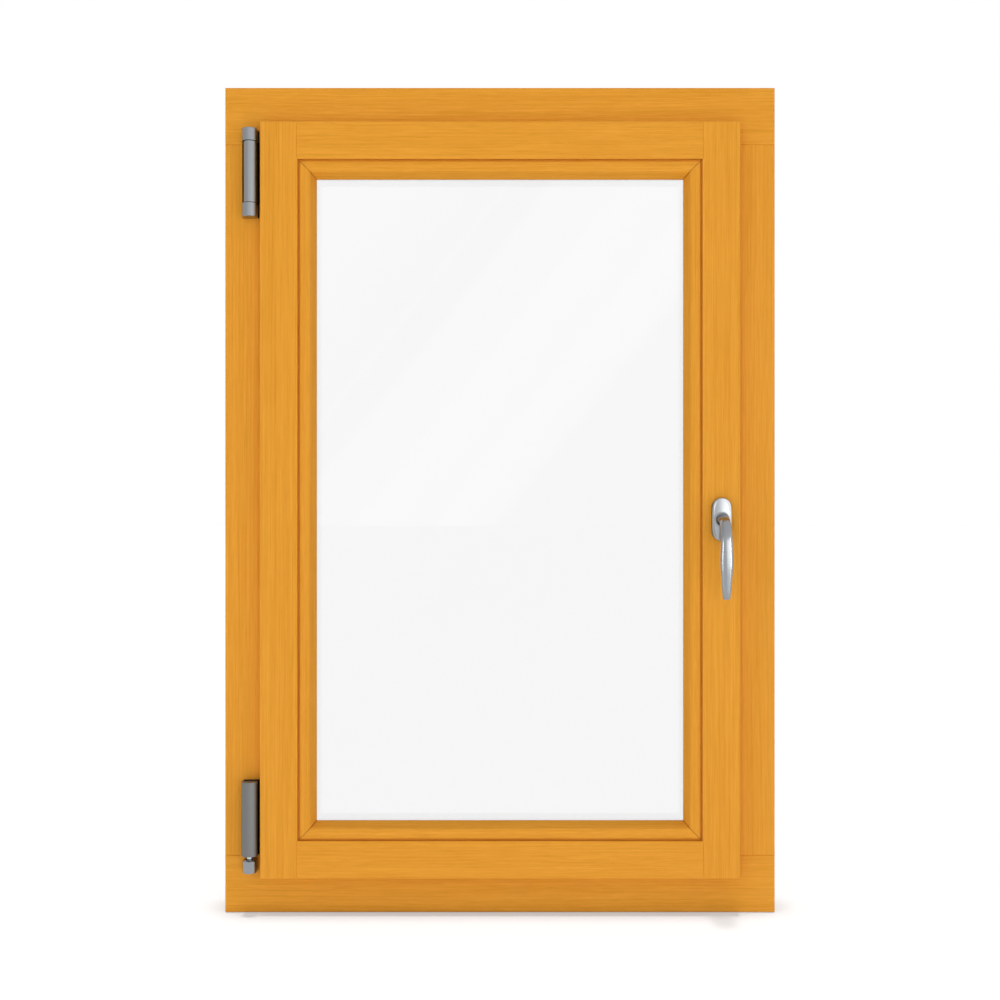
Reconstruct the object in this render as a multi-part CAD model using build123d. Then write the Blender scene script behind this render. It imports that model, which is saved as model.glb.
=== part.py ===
from build123d import *
import math
import os

os.makedirs("parts", exist_ok=True)

# Millimetres. X runs along the window, +Y points outdoors, the room is on the -Y side, +Z is up.
# The origin is the middle of the frame's underside at mid depth.
FRAME_W = 800.0
FRAME_H = 1200.0
FRAME_D = 68.0
ROOM = -FRAME_D / 2
OUT = FRAME_D / 2
MID_Z = FRAME_H / 2

# Frame profile, measured inwards from the outer edge.
FRAME_FACE = 83.0
REBATE = 58.5
GASKET_LEDGE = 76.5
LEDGE_Y = -2.0
STOP_Y = 19.5

# Sash profile, measured inwards from the sash's outer edge.
SASH_REVEAL = 53.5
SASH_W = FRAME_W - 2 * SASH_REVEAL
SASH_H = FRAME_H - 2 * SASH_REVEAL
SASH_FACE_Y = ROOM - 18.0
LIP_Y = ROOM - 2.5
SASH_OUT_Y = 16.0
LIP = 15.0
STEP = 27.0
STEP_Y = -5.0
GLASS_REBATE = 54.3
SIGHT = 79.4
SIGHT_OUT = 68.0
SEAT_Y = 1.0
JOINT_V = 53.0
GROOVE_Y = -23.5
PLATE_HALF = 8.0
PLATE_T = 2.0
GROOVE_HALF = 6.0
GROOVE_V = 23.0

# Glass unit and beads.
GLASS_EDGE = 61.5
PANE = 4.0
GLASS_IN_Y = -26.0
GLASS_OUT_Y = -2.0
BEAD_V = GLASS_REBATE + 0.3
BEAD_FACE_Y = -49.0
BEAD_BACK_Y = -29.0
BEAD_FLAT = 16.3
QUIRK_W = 2.5
QUIRK_D = 3.0

# Hinge axis at the left.
HX = -362.0
HY = -47.0
BALL_Z = 71.0
BALL_R = 7.0
PIN_R = 3.5
BUSH_R = 6.6
SPIGOT_R = 5.0
RUN = 0.05

# Stay.
ARM_Z = 1134.5
ARM_T = 3.0
STUD_X = HX + 330.0
STUD_R = 3.5

# Handle and drive.
SPINDLE_V = 27.5
SPINDLE_X = SASH_W / 2 - SPINDLE_V
SPINDLE_Z = 572.0
SPINDLE = 7.0
MODULE = 1.0
TEETH = 15
PITCH_R = MODULE * TEETH / 2
PRESSURE = math.radians(25)
BACKLASH = 0.12
TRAVEL = math.pi * PITCH_R
ROD_V = 17.2
ROD_T = 1.55
ROD_HALF = 5.0
CAM_R = 3.2
CAM_RISE = 6.6
LOCK_CAM_Z = 960.0
TOP_CAM_X = 150.0
TILT_CAM_X = 180.0

WALL_X = SASH_W / 2 - LIP
WALL_TOP = FRAME_H - SASH_REVEAL - LIP
WALL_LOW = SASH_REVEAL + LIP
JAMB_X = FRAME_W / 2 - REBATE


def block(x0, x1, y0, y1, z0, z1):
    centre = Pos((x0 + x1) / 2, (y0 + y1) / 2, (z0 + z1) / 2)
    return centre * Box(abs(x1 - x0), abs(y1 - y0), abs(z1 - z0))


def bar_x(y, z, r, x0, x1):
    return Pos((x0 + x1) / 2, y, z) * Rot(0, 90, 0) * Cylinder(r, abs(x1 - x0))


def bar_y(x, z, r, y0, y1):
    return Pos(x, (y0 + y1) / 2, z) * Rot(90, 0, 0) * Cylinder(r, abs(y1 - y0))


def bar_z(x, y, r, z0, z1):
    return Pos(x, y, (z0 + z1) / 2) * Cylinder(r, abs(z1 - z0))


def outline(points):
    """A closed section; a third number rounds that corner."""
    face = make_face(Polyline(*[p[:2] for p in points], close=True))
    for p in points:
        if len(p) > 2:
            face = fillet(face.vertices().sort_by_distance(p[:2])[0], p[2])
    return face


def mitred(section, width, height, reach, relief=0.0):
    """Four bars of one section round a rectangle, cut at 45 degrees: left, right, bottom, top."""

    def bar(length):
        half = length / 2 - relief
        corners = ((0, -half), (reach, reach - half), (reach, half - reach), (0, half))
        wedge = make_face(Polyline(*corners, close=True))
        return extrude(section, amount=length / 2, both=True) & extrude(
            Plane.XZ * wedge, amount=200, both=True
        )

    left = Pos(-width / 2, 0, MID_Z) * bar(height)
    low = Rot(0, -90, 0) * bar(width)
    bottom = Pos(0, 0, MID_Z - height / 2) * low
    top = Pos(0, 0, MID_Z + height / 2) * mirror(low, about=Plane.XY)
    return left, mirror(left, about=Plane.YZ), bottom, top


def ring(section, width, height, reach):
    left, right, bottom, top = mitred(section, width, height, reach)
    return left + right + bottom + top


def vee_x(x0, x1, y, z, half=0.55):
    side = half * math.sqrt(2)
    return Pos((x0 + x1) / 2, y, z) * Rot(45, 0, 0) * Box(abs(x1 - x0), side, side)


def vee_z(x, y, z0, z1, half=0.55):
    side = half * math.sqrt(2)
    return Pos(x, y, (z0 + z1) / 2) * Rot(0, 0, 45) * Box(side, side, abs(z1 - z0))


def screw(length, head_r=4.0, shank_r=1.9):
    """A countersunk screw along -Z with its head's face at the origin."""
    taper = Pos(0, 0, -1.2) * Cone(shank_r, head_r, 2.4)
    return taper + Pos(0, 0, -length / 2) * Cylinder(shank_r, length)


DRIVE_R = 1.9
DRIVE_D = 1.6
drive = Pos(0, 0, -DRIVE_D) * extrude(RegularPolygon(DRIVE_R, 6), amount=DRIVE_D + 1)


def driven(spots, fastener):
    """Placed screws with a six-sided drive in their heads."""
    return Compound(children=[spot * (fastener - drive) for spot in spots])


def along_x(place, sign):
    return Pos(*place) * Rot(0, 90 * sign, 0)


def along_y(place):
    return Pos(*place) * Rot(90, 0, 0)


def slot_prism(length, width, depth):
    return extrude(SlotOverall(length, width), amount=depth / 2, both=True)


def on_lock(shape):
    """From an edge drawing (X along the edge, Z into the sash) to the lock stile's edge."""
    return Pos(WALL_X, 0, 0) * Rot(0, -90, 0) * shape


def on_top(shape):
    return Pos(0, 0, WALL_TOP) * mirror(shape, about=Plane.XY)


def on_bottom(shape):
    return Pos(0, 0, WALL_LOW) * shape


parts = {}

# Screws and the holes that receive them.
STRIKER_T = 2.0
STRIKER_HALF = 33.0
TILT_KEEP_X = TILT_CAM_X - 12.0
SCREW_STEP = 26.0
SCREW_Y = -17.5
strike_screw = screw(22)
strike_spots = []
for offset in (-SCREW_STEP, SCREW_STEP):
    strike_spots.append(along_x((JAMB_X - STRIKER_T, SCREW_Y, LOCK_CAM_Z + offset), -1))
    head_z = FRAME_H - REBATE - STRIKER_T
    strike_spots.append(Pos(TOP_CAM_X + offset, SCREW_Y, head_z) * Rot(180, 0, 0))
    strike_spots.append(Pos(TILT_KEEP_X + offset, SCREW_Y, REBATE + STRIKER_T))
striker_screws = [spot * strike_screw for spot in strike_spots]

STAY_PLATE_Y = ROOM - 3.0
stay_screw = screw(38)
stay_spots = [along_y((HX, STAY_PLATE_Y, z)) for z in (1052.0, 1095.0)]
stay_screws = [spot * stay_screw for spot in stay_spots]
DOWEL_R = 3.2
dowels = [bar_y(HX, z, DOWEL_R, ROOM, ROOM + 28) for z in (66.0, 77.0)]

# Frame: mitred ring, then parted into through head and sill and tenoned jambs.
frame_section = outline(
    [
        (0, ROOM, 2),
        (REBATE, ROOM, 3),
        (REBATE, LEDGE_Y),
        (GASKET_LEDGE, LEDGE_Y, 1),
        (GASKET_LEDGE, STOP_Y),
        (FRAME_FACE, STOP_Y, 1),
        (FRAME_FACE, OUT, 4),
        (0, OUT, 2),
    ]
)
frame_ring = ring(frame_section, FRAME_W, FRAME_H, 100)

FIX_R = 3.5
FIX_Y = -18.0
FIX_Z = (200.0, 1000.0)
RAIL_LOW = 68.0
RAIL_HALF = FRAME_W / 2 - FRAME_FACE
for z in FIX_Z:
    for side in (-1, 1):
        frame_ring -= bar_x(FIX_Y, z, FIX_R, side * FRAME_W / 2, side * (JAMB_X - 1))
frame_ring -= block(-RAIL_HALF, RAIL_HALF, STOP_Y, OUT + 1, RAIL_LOW, FRAME_FACE + 1)
for cutter in striker_screws + stay_screws + dowels:
    frame_ring -= cutter

TENON_T = FRAME_D / 5
tenons = []
for side in (-1, 1):
    for z0, z1 in ((0, FRAME_FACE), (FRAME_H - FRAME_FACE, FRAME_H)):
        for y in (-TENON_T, TENON_T):
            tenons.append(
                block(
                    side * JAMB_X,
                    side * FRAME_W / 2,
                    y - TENON_T / 2,
                    y + TENON_T / 2,
                    z0,
                    z1,
                )
            )
frame_lines = []
for side in (-1, 1):
    for z in (FRAME_FACE, FRAME_H - FRAME_FACE):
        frame_lines.append(vee_x(side * JAMB_X, side * FRAME_W / 2, ROOM, z, 0.9))
        frame_lines.append(vee_x(side * RAIL_HALF, side * FRAME_W / 2, OUT, z))


def frame_member(zone, keep, lose):
    body = frame_ring & zone
    for cutter in lose:
        body -= cutter
    for tenon in keep:
        body += frame_ring & tenon
    for line in frame_lines:
        body -= line
    return body


half_w = FRAME_W / 2
head_zone = block(-half_w, half_w, ROOM, OUT, FRAME_H - FRAME_FACE, FRAME_H)
sill_zone = block(-half_w, half_w, ROOM, OUT, 0, FRAME_FACE)
left_zone = block(-half_w, 0, ROOM, OUT, FRAME_FACE, FRAME_H - FRAME_FACE)
right_zone = block(0, half_w, ROOM, OUT, FRAME_FACE, FRAME_H - FRAME_FACE)
parts["frame_head"] = frame_member(head_zone, [], tenons)
parts["frame_sill"] = frame_member(sill_zone, [], tenons)
parts["frame_jamb_hinge"] = frame_member(left_zone, tenons[:4], [])
parts["frame_jamb_lock"] = frame_member(right_zone, tenons[4:], [])


def rain_rail():
    """Hollow aluminium section with a drip nose; drain slots along its underside."""
    outer = outline(
        [
            (STOP_Y, RAIL_LOW),
            (OUT, RAIL_LOW),
            (OUT, RAIL_LOW - 6),
            (OUT + 8, RAIL_LOW - 6),
            (OUT + 8, RAIL_LOW + 7, 2),
            (STOP_Y + 1.8, FRAME_FACE, 0.8),
            (STOP_Y, FRAME_FACE),
        ]
    )
    inner = outline(
        [
            (STOP_Y + 1.8, RAIL_LOW + 1.8),
            (OUT + 1.8, RAIL_LOW + 1.8),
            (OUT + 1.8, RAIL_LOW - 4),
            (OUT + 6.2, RAIL_LOW - 4),
            (OUT + 6.2, RAIL_LOW + 5.6),
            (STOP_Y + 3.6, FRAME_FACE - 3.4),
        ]
    )
    length = 2 * (RAIL_HALF - 2)
    body = extrude(Plane.YZ * (outer - inner), amount=length / 2, both=True)
    caps = extrude(Plane.YZ * outer, amount=1.0, both=True)
    for x in (-200, 0, 200):
        body -= block(x - 12, x + 12, OUT + 2, OUT + 6, RAIL_LOW - 7, RAIL_LOW - 3)
    ends = [Pos(side * (RAIL_HALF - 1), 0, 0) * caps for side in (-1, 1)]
    return body, Compound(children=ends)


parts["rain_rail"], parts["rain_rail_caps"] = rain_rail()


def striker(lips, low, high):
    """A keep plate on a plane at Z=0 with upright lips between pairs of X; low and high end the plate."""
    plate_y = (GROOVE_Y - 9.5, GROOVE_Y + 10.5)
    body = block(low, high, *plate_y, 0, STRIKER_T)
    body = fillet(body.edges().filter_by(Axis.Z), 3)
    for x0, x1 in lips:
        rise = [(x0, 0), (x0 + 2.5, 7.3, 0.8), (x1 - 2.5, 7.3, 0.8), (x1, 0)]
        lip = extrude(Plane.XZ * outline(rise), amount=1.8)
        body += Pos(0, GROOVE_Y - CAM_R - 0.5, 0) * lip
    return body


lock_keep = striker([(-9, 6)], -STRIKER_HALF, STRIKER_HALF)
lock_keep = Pos(JAMB_X, 0, LOCK_CAM_Z) * Rot(0, -90, 0) * lock_keep
top_keep = striker([(-9, 6)], -STRIKER_HALF, STRIKER_HALF)
top_keep = Pos(TOP_CAM_X, 0, FRAME_H - REBATE) * mirror(top_keep, about=Plane.XY)
tilt_keep = striker([(6, 21), (-20.6, -5.6)], -STRIKER_HALF, STRIKER_HALF)
tilt_keep = Pos(TILT_KEEP_X, 0, REBATE) * tilt_keep
for name, keep in (("lock", lock_keep), ("top", top_keep), ("tilt", tilt_keep)):
    for cutter in striker_screws:
        keep -= cutter
    parts[f"striker_{name}"] = keep
parts["striker_screws"] = driven(strike_spots, strike_screw)


def bow_plan(r, back):
    """A round-fronted plan about the hinge axis with straight sides running back to a Y."""
    front = Pos(HX, HY) * Circle(r) - Pos(HX, HY + r) * Rectangle(2 * r, 2 * r)
    return front + Pos(HX, (HY + back) / 2) * Rectangle(2 * r, back - HY)


def front_rim(edges, back):
    return [edge for edge in edges if edge.center().Y < back - 0.1]


def tower(plan, z0, z1):
    return Pos(0, 0, z0) * extrude(plan, amount=z1 - z0)


# Upper hinge: bracket on the frame with two knuckles, caps and pin.
STAY_LOW = 1009.0
STAY_HIGH = 1137.0
BARREL_LOW = 1028.5
BARREL_HIGH = 1118.5
CAP_R = 10.7
KNUCKLE_R = 9.0
CAP_T = 1.5
bracket = block(HX - 12.4, HX + 12.0, STAY_PLATE_Y, ROOM, STAY_LOW + 0.5, STAY_HIGH - 0.5)
bracket = fillet(bracket.edges().filter_by(Axis.Y), 2)
knuckle = bow_plan(KNUCKLE_R, STAY_PLATE_Y)
bracket += tower(knuckle, STAY_LOW + CAP_T, BARREL_LOW)
bracket += tower(knuckle, BARREL_HIGH, STAY_HIGH - CAP_T)
bracket -= bar_z(HX, HY, PIN_R + RUN, STAY_LOW, STAY_HIGH)
for cutter in stay_screws:
    bracket -= cutter
parts["stay_bearing"] = bracket
parts["stay_bearing_pin"] = bar_z(HX, HY, PIN_R, STAY_LOW + CAP_T, STAY_HIGH - CAP_T - 0.5)
parts["stay_bearing_screws"] = driven(stay_spots, stay_screw)


def stay_cap(z_end, z_open):
    low, high = min(z_end, z_open), max(z_end, z_open)
    shell = tower(bow_plan(CAP_R, STAY_PLATE_Y), low, high)
    rim = shell.faces().sort_by(Axis.Z)[0 if z_end < z_open else -1].edges()
    shell = fillet(front_rim(rim, STAY_PLATE_Y), 1.0)
    inside = z_end + math.copysign(CAP_T, z_open - z_end)
    low, high = min(inside, z_open), max(inside, z_open)
    return shell - tower(bow_plan(KNUCKLE_R + 0.1, STAY_PLATE_Y), low, high)


parts["stay_cap_upper"] = stay_cap(STAY_HIGH, BARREL_HIGH)
parts["stay_cap_lower"] = stay_cap(STAY_LOW, BARREL_LOW)

# Lower hinge: ball cup on the frame.
CUP_R = 10.0
CUP_LOW = 61.4
CUP_HIGH = 81.0
NECK_R = 4.0
cup = tower(bow_plan(CUP_R, ROOM), CUP_LOW, CUP_HIGH)
cup = chamfer(front_rim(cup.faces().sort_by(Axis.Z)[-1].edges(), ROOM), 2.4)
cup = fillet(front_rim(cup.faces().sort_by(Axis.Z)[0].edges(), ROOM), 1.2)
cup -= Pos(HX, HY, BALL_Z) * Sphere(BALL_R + RUN)
mouth_low = BALL_Z + 4.6
cup -= Pos(HX, HY, (mouth_low + CUP_HIGH) / 2) * Cone(5.35, 6.0, CUP_HIGH - mouth_low)
for dowel in dowels:
    cup += dowel
parts["corner_bearing"] = cup

SLEEVE_LOW = 88.0
SLEEVE_HIGH = 190.0
ball_pin = Pos(HX, HY, BALL_Z) * Sphere(BALL_R)
ball_pin += bar_z(HX, HY, NECK_R, BALL_Z, SLEEVE_LOW - 1)
ball_pin += bar_z(HX, HY, SPIGOT_R, SLEEVE_LOW - 1.5, SLEEVE_HIGH - 3)
parts["corner_ball_pin"] = ball_pin


def strap(points, width, z0, z1):
    path = FilletPolyline(*points, radius=2.5)
    return Pos(0, 0, z0) * extrude(trace(path, width), amount=z1 - z0)


# The straps leave the barrels tangentially and joggle behind the sash lip.
JOGGLE = [(HX, -41.6), (-351.5, -41.6), (-347.8, -37.2)]
STRAP_T = 3.0
EYE_R = 7.5
EYE_LOW = BARREL_LOW + 1.0
EYE_HIGH = BARREL_HIGH - 1.0
STAY_STRAP_LOW = EYE_LOW + 0.5

stay_arm = strap(JOGGLE + [(-337, -37.2), (-337, -16)], STRAP_T, STAY_STRAP_LOW, ARM_Z)
stay_arm -= block(HX, -345, -60, 0, EYE_HIGH, ARM_Z + 1)
arm_plan = outline(
    [
        (-338.5, -31, 2),
        (STUD_X - 30, -31, 20),
        (STUD_X - 8, -30.5),
        (STUD_X + 9, -30.5, 6.5),
        (STUD_X + 9, -16.5, 6.5),
        (STUD_X - 8, -16.5),
        (-338.5, -16),
    ]
)
stay_arm += Pos(0, 0, ARM_Z) * extrude(arm_plan, amount=ARM_T)
stay_arm += bar_z(HX, HY, EYE_R, EYE_LOW, EYE_HIGH)
stay_arm -= bar_z(HX, HY, BUSH_R + RUN, EYE_LOW, EYE_HIGH)
stay_arm -= bar_z(STUD_X, GROOVE_Y, 2.5, ARM_Z, ARM_Z + ARM_T)
parts["stay_arm"] = stay_arm
stud = bar_z(STUD_X, GROOVE_Y, STUD_R, ARM_Z - 10.5, ARM_Z)
stud += bar_z(STUD_X, GROOVE_Y, 2.5, ARM_Z, ARM_Z + ARM_T)
parts["stay_stud"] = stud

# The turning barrel is fuller on the sash side, where it ends in a flat cheek before the strap.
BARREL_R = 8.4
BARREL_FRONT = 10.2
CHEEK_X = 10.4
CHEEK_Y = -43.4
barrel_plan = Pos(HX, HY) * (
    (Ellipse(BARREL_R, BARREL_FRONT) & Pos(-20, -20) * Rectangle(40, 40))
    + (Ellipse(CHEEK_X, BARREL_FRONT) & Pos(20, -20) * Rectangle(40, 40))
    + (Circle(BARREL_R) & Pos(-20, 20) * Rectangle(40, 40))
    + Pos(CHEEK_X / 2, (CHEEK_Y - HY) / 2) * Rectangle(CHEEK_X, CHEEK_Y - HY)
)
barrel = tower(barrel_plan, EYE_LOW, EYE_HIGH) - bar_z(HX, HY, EYE_R, EYE_LOW, EYE_HIGH)
barrel -= block(HX - 0.5, HX + 14, CHEEK_Y, ROOM, EYE_LOW, EYE_HIGH)
parts["stay_barrel"] = barrel
bush = bar_z(HX, HY, BUSH_R, BARREL_LOW + 0.2, BARREL_HIGH - 0.2)
parts["stay_bush"] = bush - bar_z(HX, HY, PIN_R + RUN, BARREL_LOW, BARREL_HIGH)

COVER_R = 11.6
COVER_LOW = 86.2
COVER_HIGH = 193.3
CORNER_EYE_R = 7.4
CORNER_STRAP = (COVER_LOW + 0.6, COVER_HIGH + 1.3)
LEAF_X = HX - 9.5
corner_screw = screw(26)
corner_spots = []
for z in (112.0, 172.0):
    corner_spots.append(along_x((-WALL_X - STRAP_T, GROOVE_Y - 0.5, z), -1))
corner_screws = [spot * corner_screw for spot in corner_spots]
leaf_path = [(LEAF_X, -41.6)] + JOGGLE[1:]
leaf_path += [(-WALL_X - STRAP_T / 2, -37.2), (-WALL_X - STRAP_T / 2, -14)]
corner_hinge = strap(leaf_path, STRAP_T, *CORNER_STRAP)
corner_hinge += bar_z(HX, HY, CORNER_EYE_R, SLEEVE_LOW, SLEEVE_HIGH)
corner_hinge -= bar_z(HX, HY, SPIGOT_R + RUN, COVER_LOW, SLEEVE_HIGH - 2.8)
for cutter in corner_screws:
    corner_hinge -= cutter
parts["corner_hinge"] = corner_hinge
parts["corner_hinge_screws"] = driven(corner_spots, corner_screw)
cover = bar_z(HX, HY, COVER_R, COVER_LOW, COVER_HIGH)
cover = fillet(cover.faces().sort_by(Axis.Z)[-1].edges(), 0.8)
cover -= bar_z(HX, HY, CORNER_EYE_R, COVER_LOW, SLEEVE_HIGH)
cover -= block(HX - 14, HX + 14, CHEEK_Y, ROOM, COVER_LOW, CORNER_STRAP[1])
parts["corner_hinge_cover"] = cover

# Sash: mitred ring with the hardware groove and gasket kerf, parted into stiles and tenoned rails.
KERF = (19.0, 22.0)
FACE_ROUND = 0.8
JOINT_D = 3.5
sash_section = outline(
    [
        (0, SASH_FACE_Y, 1.6),
        (GLASS_REBATE, SASH_FACE_Y, FACE_ROUND),
        (GLASS_REBATE, SEAT_Y),
        (SIGHT_OUT, SEAT_Y),
        (SIGHT_OUT, SASH_OUT_Y, 6),
        (STEP, SASH_OUT_Y, 2),
        (STEP, STEP_Y),
        (KERF[1], STEP_Y),
        (KERF[1], STEP_Y - 5),
        (KERF[0], STEP_Y - 5),
        (KERF[0], STEP_Y),
        (LIP, STEP_Y),
        (LIP, GROOVE_Y + PLATE_HALF),
        (LIP + PLATE_T, GROOVE_Y + PLATE_HALF),
        (LIP + PLATE_T, GROOVE_Y + GROOVE_HALF),
        (GROOVE_V, GROOVE_Y + GROOVE_HALF),
        (GROOVE_V, GROOVE_Y - GROOVE_HALF),
        (LIP + PLATE_T, GROOVE_Y - GROOVE_HALF),
        (LIP + PLATE_T, GROOVE_Y - PLATE_HALF),
        (LIP, GROOVE_Y - PLATE_HALF),
        (LIP, LIP_Y),
        (0, LIP_Y, 1.5),
    ]
)
sash_ring = ring(sash_section, SASH_W, SASH_H, 90)

CASE_HALF = 55.0
CASE_V = 42.0
CASE_Y = GROOVE_HALF - 0.1
CASE_FRONT = 21.4
SCREW_PITCH = 21.5
HANDLE_SCREW_R = 2.5
sash_x = SASH_W / 2
sash_ring -= block(
    sash_x - CASE_V,
    sash_x - GROOVE_V + 1,
    GROOVE_Y - GROOVE_HALF,
    GROOVE_Y + GROOVE_HALF,
    SPINDLE_Z - CASE_HALF,
    SPINDLE_Z + CASE_HALF,
)
sash_ring -= bar_y(SPINDLE_X, SPINDLE_Z, 7.0, SASH_FACE_Y, GROOVE_Y + 11)
for dz in (-SCREW_PITCH, SCREW_PITCH):
    sash_ring -= bar_y(SPINDLE_X, SPINDLE_Z + dz, 5.2, SASH_FACE_Y, GROOVE_Y)
    sash_ring -= bar_y(SPINDLE_X, SPINDLE_Z + dz, 3.2, GROOVE_Y, GROOVE_Y + 9)
RECESS = 3.0
RECESS_ROOM = 4.0
strap_zones = (
    (STAY_STRAP_LOW - RECESS_ROOM, SASH_REVEAL + SASH_H),
    (CORNER_STRAP[0] - RECESS_ROOM, CORNER_STRAP[1] + RECESS_ROOM),
)
for z0, z1 in strap_zones:
    sash_ring -= block(-sash_x, -WALL_X, LIP_Y - RECESS, LIP_Y, z0, z1)
LOCK_SCREW_Z = (260.0, 740.0)
TOP_SCREW_X = (-205.0, 70.0)
LOW_SCREW_X = 72.0


def edge_screws(fastener):
    """One screw in each screw place of the three faceplates."""
    turned = Rot(180, 0, 0) * fastener
    out = [on_lock(Pos(z, GROOVE_Y, 0) * turned) for z in LOCK_SCREW_Z]
    out += [on_top(Pos(x, GROOVE_Y, 0) * turned) for x in TOP_SCREW_X]
    return out + [on_bottom(Pos(LOW_SCREW_X, GROOVE_Y, 0) * turned)]


edge_screw = screw(30, head_r=3.6, shank_r=1.8)
plate_screws = edge_screws(edge_screw)
for cutter in corner_screws + plate_screws:
    sash_ring -= cutter

sash_low = SASH_REVEAL
sash_high = SASH_REVEAL + SASH_H


FRONT = SASH_FACE_Y - 8
BACK = SASH_OUT_Y + 4
TENON_INSET = 24.0
FRONT_TENON = (20.0, -46.0, -37.5)
BACK_TENON = (LIP, -14.5, -6.5)


def stile_zone(side):
    """The room a stile takes: narrow at its face, wider behind the bead and at the sight line."""

    def slab(inner, y0, y1, z0=sash_low, z1=sash_high):
        return block(side * sash_x, side * (sash_x - inner), y0, y1, z0, z1)

    zone = slab(JOINT_V, FRONT, SASH_FACE_Y + JOINT_D)
    zone += slab(GLASS_REBATE, SASH_FACE_Y + JOINT_D, SEAT_Y)
    zone += slab(SIGHT_OUT, SEAT_Y, BACK)
    between = (sash_low + GLASS_REBATE, sash_high - GLASS_REBATE)
    return zone + slab(GLASS_REBATE, FRONT, 0, *between)


def rail_tenons(side):
    out = []
    for z0 in (sash_low + TENON_INSET, sash_high - JOINT_V):
        z1 = z0 + JOINT_V - TENON_INSET
        for end, y0, y1 in (FRONT_TENON, BACK_TENON):
            x0 = side * (sash_x - end)
            x1 = side * (sash_x - GLASS_REBATE)
            out.append(block(x0, x1, y0, y1, z0, z1))
    return out


sash_lines = []
for side in (-1, 1):
    for edge, inward in ((sash_low, 1), (sash_high, -1)):
        x = side * (sash_x - JOINT_V)
        sash_lines.append(vee_z(x, SASH_FACE_Y, edge, edge + inward * GLASS_REBATE))
        x = side * (sash_x - SIGHT_OUT)
        sash_lines.append(vee_z(x, SASH_OUT_Y, edge + inward * STEP, edge + inward * SIGHT_OUT))

left_stile = stile_zone(-1)
right_stile = stile_zone(1)
tenon_sets = {-1: rail_tenons(-1), 1: rail_tenons(1)}


def with_lines(body):
    for line in sash_lines:
        body -= line
    return body


for name, side, zone in (("hinge", -1, left_stile), ("lock", 1, right_stile)):
    stile = sash_ring & zone
    for tenon in tenon_sets[side]:
        stile -= tenon
    parts[f"sash_stile_{name}"] = with_lines(stile)
rails = sash_ring - left_stile - right_stile
for name, z0, z1 in (("bottom", sash_low, MID_Z), ("top", MID_Z, sash_high)):
    half = block(-sash_x, sash_x, FRONT, BACK, z0, z1)
    rail = rails & half
    for side in (-1, 1):
        for tenon in tenon_sets[side]:
            rail += sash_ring & tenon & half
    parts[f"sash_rail_{name}"] = with_lines(rail)

# Glazing beads with a quirk along their outer edge, hairline gaps at their mitres.
bead_depth = SIGHT - BEAD_V
bead_section = outline(
    [
        (0, BEAD_FACE_Y + QUIRK_D),
        (QUIRK_W, BEAD_FACE_Y + QUIRK_D),
        (QUIRK_W, BEAD_FACE_Y, 1),
        (BEAD_FLAT, BEAD_FACE_Y, 6),
        (bead_depth, BEAD_BACK_Y - 1.5),
        (bead_depth, BEAD_BACK_Y),
        (0, BEAD_BACK_Y),
    ]
)
beads = mitred(bead_section, SASH_W - 2 * BEAD_V, SASH_H - 2 * BEAD_V, 40, relief=0.15)
for name, bead in zip(("hinge", "lock", "bottom", "top"), beads):
    parts[f"bead_{name}"] = bead


def rect_ring(v0, v1, y0, y1):
    def slab(v):
        return block(-(sash_x - v), sash_x - v, y0, y1, sash_low + v, sash_high - v)

    return slab(v0) - slab(v1)


def pane(y0):
    v = GLASS_EDGE
    return block(-(sash_x - v), sash_x - v, y0, y0 + PANE, sash_low + v, sash_high - v)


parts["glass_room"] = pane(GLASS_IN_Y)
parts["glass_outer"] = pane(GLASS_OUT_Y - PANE)
EDGE_SEAL_W = 3.5
SPACER_W = 6.5
SEAL_W = 8.0
SEAL_BACK = 0.5
gap = (GLASS_IN_Y + PANE, GLASS_OUT_Y - PANE)
spacer_v = GLASS_EDGE + EDGE_SEAL_W
room_v = SIGHT - SEAL_BACK
outer_v = SIGHT_OUT - SEAL_BACK
parts["glass_spacer"] = rect_ring(spacer_v, spacer_v + SPACER_W, *gap)
parts["glass_edge_seal"] = rect_ring(GLASS_EDGE, spacer_v, *gap)
parts["glazing_seal_room"] = rect_ring(room_v - SEAL_W, room_v, BEAD_BACK_Y, GLASS_IN_Y)
parts["glazing_seal_outer"] = rect_ring(GLASS_EDGE, outer_v, GLASS_OUT_Y, SEAT_Y)
BLOCK_L = 80.0
BLOCK_W = 26.0
block_t = GLASS_EDGE - GLASS_REBATE
block_v = (GLASS_REBATE + GLASS_EDGE) / 2
block_y = (GLASS_IN_Y + GLASS_OUT_Y) / 2
blocks = []
for side in (-1, 1):
    for x in (-215, 215):
        z = MID_Z + side * (SASH_H / 2 - block_v)
        blocks.append(Pos(x, block_y, z) * Box(BLOCK_L, BLOCK_W, block_t))
    for z in (MID_Z - 400, MID_Z + 400):
        x = side * (SASH_W / 2 - block_v)
        blocks.append(Pos(x, block_y, z) * Box(block_t, BLOCK_W, BLOCK_L))
parts["setting_blocks"] = Compound(children=blocks)

GASKET_TIP = LEDGE_Y - 0.3
gasket_section = outline(
    [
        (KERF[0] + 0.2, STEP_Y - 4.5),
        (KERF[1] - 0.2, STEP_Y - 4.5),
        (KERF[1] - 0.2, STEP_Y),
        (24, STEP_Y),
        (22.4, GASKET_TIP, 1),
        (17.6, GASKET_TIP, 1),
        (16, STEP_Y),
        (KERF[0] + 0.2, STEP_Y),
    ]
)
parts["sash_gasket"] = ring(gasket_section, SASH_W, SASH_H, 60)

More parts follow.
